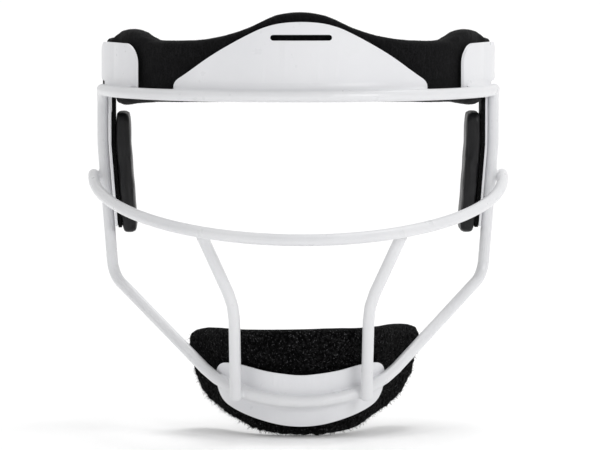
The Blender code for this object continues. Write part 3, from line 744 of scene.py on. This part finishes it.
def curve_coordinates(points, table):
    """Distance along the curve and offset inside it, for points in millimetres."""
    spots, inward, along = table
    index = np.empty(len(points), int)
    for start in range(0, len(points), 4000):
        part = points[start:start + 4000, None, :2] - spots[None]
        index[start:start + 4000] = (part ** 2).sum(2).argmin(1)
    offset = ((points[:, :2] - spots[index]) * inward[index]).sum(1)
    return along[index], offset, inward[index]


def brow_station(run):
    if abs(run) > 90:
        side = math.copysign(1, run)
        return Vector((side * HALF_WIDTH, BROW_BACK + abs(run) - 90)), Vector((-side, 0))
    here, inner = brow_place(run, 0.0), brow_place(run, 1.0)
    return here, (inner - here).normalized()


BROW_TABLE = curve_table([brow_station(r) for r in even(-112.0, 112.0, 449)])


def smooth_noise(points, scale, seed):
    """A soft random field between about -1 and 1, from a few seeded waves."""
    rng = np.random.default_rng(seed)
    total = np.zeros(len(points))
    for _ in range(14):
        wave = rng.normal(size=3)
        wave *= 2 * math.pi / scale / np.linalg.norm(wave) * rng.uniform(0.6, 1.5)
        total += np.sin(points @ wave + rng.uniform(0, 2 * math.pi))
    return total / math.sqrt(14)


def stuff(name, node, voxel, inset, pressure, cap):
    """Copies a soft CAD solid, remeshes it, pumps it up as cloth and caps how far it may move."""
    piece = bpy.data.objects.new(name, nodes[node].data.copy())
    scene.collection.objects.link(piece)
    remesh = piece.modifiers.new("remesh", "REMESH")
    remesh.mode = "VOXEL"
    remesh.voxel_size = voxel * MM
    apply_modifiers(piece)
    limit = mesh_points(piece)
    small = limit - mesh_normals(piece) * inset * MM
    set_points(piece, small)
    cloth = piece.modifiers.new("stuffing", "CLOTH")
    cloth.settings.quality = 5
    cloth.settings.mass = 0.2
    cloth.settings.use_pressure = True
    cloth.settings.uniform_pressure_force = pressure
    cloth.settings.effector_weights.gravity = 0.0
    cloth.settings.tension_stiffness = 12
    cloth.settings.compression_stiffness = 12
    cloth.settings.bending_stiffness = 0.4
    for frame_number in range(1, 21):
        scene.frame_set(frame_number)
    apply_modifiers(piece)
    scene.frame_set(1)
    pumped = mesh_points(piece) - small
    length = np.maximum(np.linalg.norm(pumped, axis=1), 1e-9)
    most = cap * MM
    set_points(piece, small + pumped * (most * np.tanh(length / most) / length)[:, None])
    smooth = piece.modifiers.new("finer", "SUBSURF")
    smooth.levels = smooth.render_levels = 1
    apply_modifiers(piece)
    piece.data.shade_smooth()
    return piece


def dress(piece, material, body, node):
    piece.data.materials.clear()
    piece.data.materials.append(material)
    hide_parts(node)
    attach(piece, body)


def spikes(name, piece, count, length, width, lean, material, body, keep, seed):
    """Short closed fibres standing on a pad, where keep says so of a point and its normal."""
    rng = np.random.default_rng(seed)
    mesh = piece.data
    mesh.calc_loop_triangles()
    corners = np.empty(len(mesh.loop_triangles) * 3, int)
    mesh.loop_triangles.foreach_get("vertices", corners)
    corners = corners.reshape(-1, 3)
    spots = mesh_points(piece) / MM
    a, b, c = (spots[corners[:, i]] for i in range(3))
    cross = np.cross(b - a, c - a)
    area = np.linalg.norm(cross, axis=1)
    pick = rng.choice(len(area), size=count * 3, p=area / area.sum())
    u, v = rng.random((2, len(pick)))
    over = u + v > 1
    u[over], v[over] = 1 - u[over], 1 - v[over]
    root = a[pick] + (b - a)[pick] * u[:, None] + (c - a)[pick] * v[:, None]
    normal = cross[pick] / area[pick][:, None]
    share = keep(root, normal)
    chosen = np.flatnonzero(rng.random(len(pick)) < share)[:count]
    root, normal = root[chosen], normal[chosen]
    aim = normal + rng.normal(size=normal.shape) * lean
    aim /= np.linalg.norm(aim, axis=1)[:, None]
    bend = rng.normal(size=normal.shape) * 0.45
    size = length * rng.uniform(0.45, 1.0, len(root)) ** 1.4
    side = np.cross(aim, rng.normal(size=aim.shape))
    side /= np.linalg.norm(side, axis=1)[:, None]
    up = np.cross(aim, side)
    rings = []
    for share_along, thick in ((-0.12, 1.0), (0.5, 0.8)):
        middle = root + (aim * share_along + bend * max(share_along, 0.0) ** 2) * size[:, None]
        for turn in (0.0, 2.094, 4.189):
            out = side * math.cos(turn) + up * math.sin(turn)
            rings.append(middle + out * width / 2 * thick)
    tip = root + (aim + bend) * size[:, None]
    points = np.stack(rings + [tip], 1).reshape(-1, 3)
    pattern = [(0, 2, 1), (0, 1, 4, 3), (1, 2, 5, 4), (2, 0, 3, 5), (3, 4, 6), (4, 5, 6), (5, 3, 6)]
    faces = [tuple(base + i for i in face) for base in range(0, len(points), 7) for face in pattern]
    points[:, 2] = np.maximum(points[:, 2], LOWEST)
    pile = add_piece(name, points * MM, faces, material, smooth=False)
    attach(pile, body)
    return pile


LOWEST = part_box("chin_pad")[0].z / MM

# Forehead pad: foam in a brushed knit sleeve, closed by a seam round its inner face
forehead = stuff("forehead_pad_soft", "forehead_pad", 2.2, 0.4, 4.0, 0.5)
points = mesh_points(forehead) / MM
soft = smooth_noise(points, 30.0, 3) * 0.10 + smooth_noise(points, 9.0, 4) * 0.04
points += mesh_normals(forehead) * soft[:, None]
_, offset, inward = curve_coordinates(points, BROW_TABLE)
front = points[:, 1] < FLARE_OUT[0] - 2.0
lack = np.maximum(PAD_OUT + 0.15 - offset, 0.0) * front
points[:, :2] += inward * lack[:, None]
set_points(forehead, points * MM)
dress(forehead, BRUSHED, "forehead_pad_body", "forehead_pad")

# Chin pad: thick looped fleece over foam
chin = stuff("chin_pad_soft", "chin_pad", 1.9, 0.5, 4.0, 0.6)
points = mesh_points(chin) / MM
clumps = np.abs(smooth_noise(points, 5.0, 11)) * 0.45 + smooth_noise(points, 2.6, 12) * 0.22
normals = mesh_normals(chin)
CHIN_TOP = points[:, 2].max()
rough = np.clip((CHIN_TOP - 3.0 - points[:, 2]) / 4.0, 0.0, 1.0) * np.clip(1.3 - normals[:, 2], 0.0, 1.0)
points += normals * ((clumps - 0.35) * rough)[:, None]
points[:, 2] = np.maximum(points[:, 2], LOWEST)
set_points(chin, points * MM)
dress(chin, FLEECE, "chin_pad_body", "chin_pad")

# Side pads: flat foam in a satin cover, welded round its edge
for side, sign in (("right", 1), ("left", -1)):
    node = side + "_side_pad"
    pad = stuff(side + "_side_pad_soft", node, 1.1, 0.35, 4.0, 0.4)
    points = mesh_points(pad) / MM
    normals = mesh_normals(pad)
    inner_x = np.array([lean_x(z) - PAD_OUT - SIDE_PAD_T for z in points[:, 2]])
    fold = np.exp(-((np.abs(points[:, 0]) - inner_x - 1.5) / 0.35) ** 2)
    rim = np.maximum(np.abs(normals[:, 1]), np.abs(normals[:, 2]))
    points -= normals * (fold * np.clip(rim * 2 - 1, 0, 1) * 0.16)[:, None]
    points += normals * (smooth_noise(points, 12.0, 21) * 0.08)[:, None]
    set_points(pad, points * MM)
    dress(pad, VINYL, side + "_side_pad_body", node)

FIBRE_FLEECE = fibre_look("fleece_fibre", (0.004, 0.004, 0.0042))
FIBRE_KNIT = fibre_look("knit_nap", (0.0035, 0.0035, 0.0037))


def fleece_places(root, normal):
    """Pile stands up most along the low and left edges, and not on the top rim."""
    share = np.where(normal[:, 2] < -0.3, 1.0, 0.22)
    share = np.where((root[:, 0] > 10.0) & (normal[:, 2] < -0.3), 0.45, share)
    return np.where((normal[:, 2] > 0.25) | (root[:, 2] > CHIN_TOP - 5.0), 0.0, share)


def nap_places(root, normal):
    return np.where(np.abs(normal[:, 2]) > 0.4, 1.0, 0.5)


spikes("chin_pad_pile", chin, 13000, 2.2, 0.14, 0.75, FIBRE_FLEECE, "chin_pad_body",
       fleece_places, 31)
spikes("forehead_pad_nap", forehead, 9000, 0.38, 0.08, 0.9, FIBRE_KNIT,
       "forehead_pad_body", nap_places, 32)

# ---------------------------------------------------------------- studio
half_floor = 40.0           # metres
floor_z = LOWEST * MM - 0.0003
points = [(x, y, floor_z) for y in (-half_floor, half_floor) for x in (-half_floor, half_floor)]
paper = Look("studio_paper", Roughness=0.9, Specular_IOR_Level=0.1, Base_Color=(0.95, 0.95, 0.95, 1.0),
             Emission_Color=(1.0, 1.0, 1.0, 1.0), Emission_Strength=0.10)
studio = add_piece("studio_floor", points, [(0, 1, 3, 2)], paper.material)

world = scene.world or bpy.data.worlds.new("studio")
scene.world = world
world.use_nodes = True
backdrop = world.node_tree.nodes["Background"]
backdrop.inputs["Color"].default_value = (1.0, 1.0, 1.0, 1.0)
# A light tent: brighter from behind, above and the right than from the camera's side
direction = world.node_tree.nodes.new("ShaderNodeTexCoord")
tent = world.node_tree.nodes.new("ShaderNodeVectorMath")
tent.operation = "DOT_PRODUCT"
tent.inputs[1].default_value = (0.05, 0.24, 0.08)
glow = world.node_tree.nodes.new("ShaderNodeMath")
glow.inputs[1].default_value = 0.66
world.node_tree.links.new(direction.outputs["Generated"], tent.inputs[0])
world.node_tree.links.new(tent.outputs["Value"], glow.inputs[0])
world.node_tree.links.new(glow.outputs["Value"], backdrop.inputs["Strength"])


def lamp(name, kind, place, energy, size):
    """A soft light aimed at the guard; the size is a width for an area and an angle for a sun."""
    light = bpy.data.lights.new(name, kind)
    if kind == "AREA":
        light.shape = "DISK"
        light.size = size
    else:
        light.angle = math.radians(size)
    light.energy = energy
    holder = bpy.data.objects.new(name, light)
    holder.location = place
    aim = Vector((0.0, 0.0, -0.08)) - Vector(place)
    holder.rotation_euler = aim.to_track_quat("-Z", "Y").to_euler()
    scene.collection.objects.link(holder)


lamp("key", "AREA", (1.1, -1.6, 0.7), 11.0, 0.8)
lamp("fill", "AREA", (-1.6, -1.0, 0.2), 2.0, 1.0)
lamp("overhead", "SUN", (0.25, 0.35, 1.0), 0.95, 28.0)

CAMERA_DISTANCE = 2.0
CAMERA_TARGET = Vector((0.0, 0.020, -0.076))
elevation, azimuth = math.radians(4.0), math.radians(-0.9)
back = Vector((math.sin(azimuth) * math.cos(elevation), -math.cos(azimuth) * math.cos(elevation),
               math.sin(elevation)))
camera_data = bpy.data.cameras.new("camera")
camera_data.sensor_width = 36.0
camera_data.lens = 265.1
camera = bpy.data.objects.new("camera", camera_data)
camera.location = CAMERA_TARGET + back * CAMERA_DISTANCE
camera.rotation_euler = (-back).to_track_quat("-Z", "Y").to_euler()
scene.collection.objects.link(camera)
scene.camera = camera
scene.view_settings.view_transform = "Standard"
scene.view_settings.look = "None"
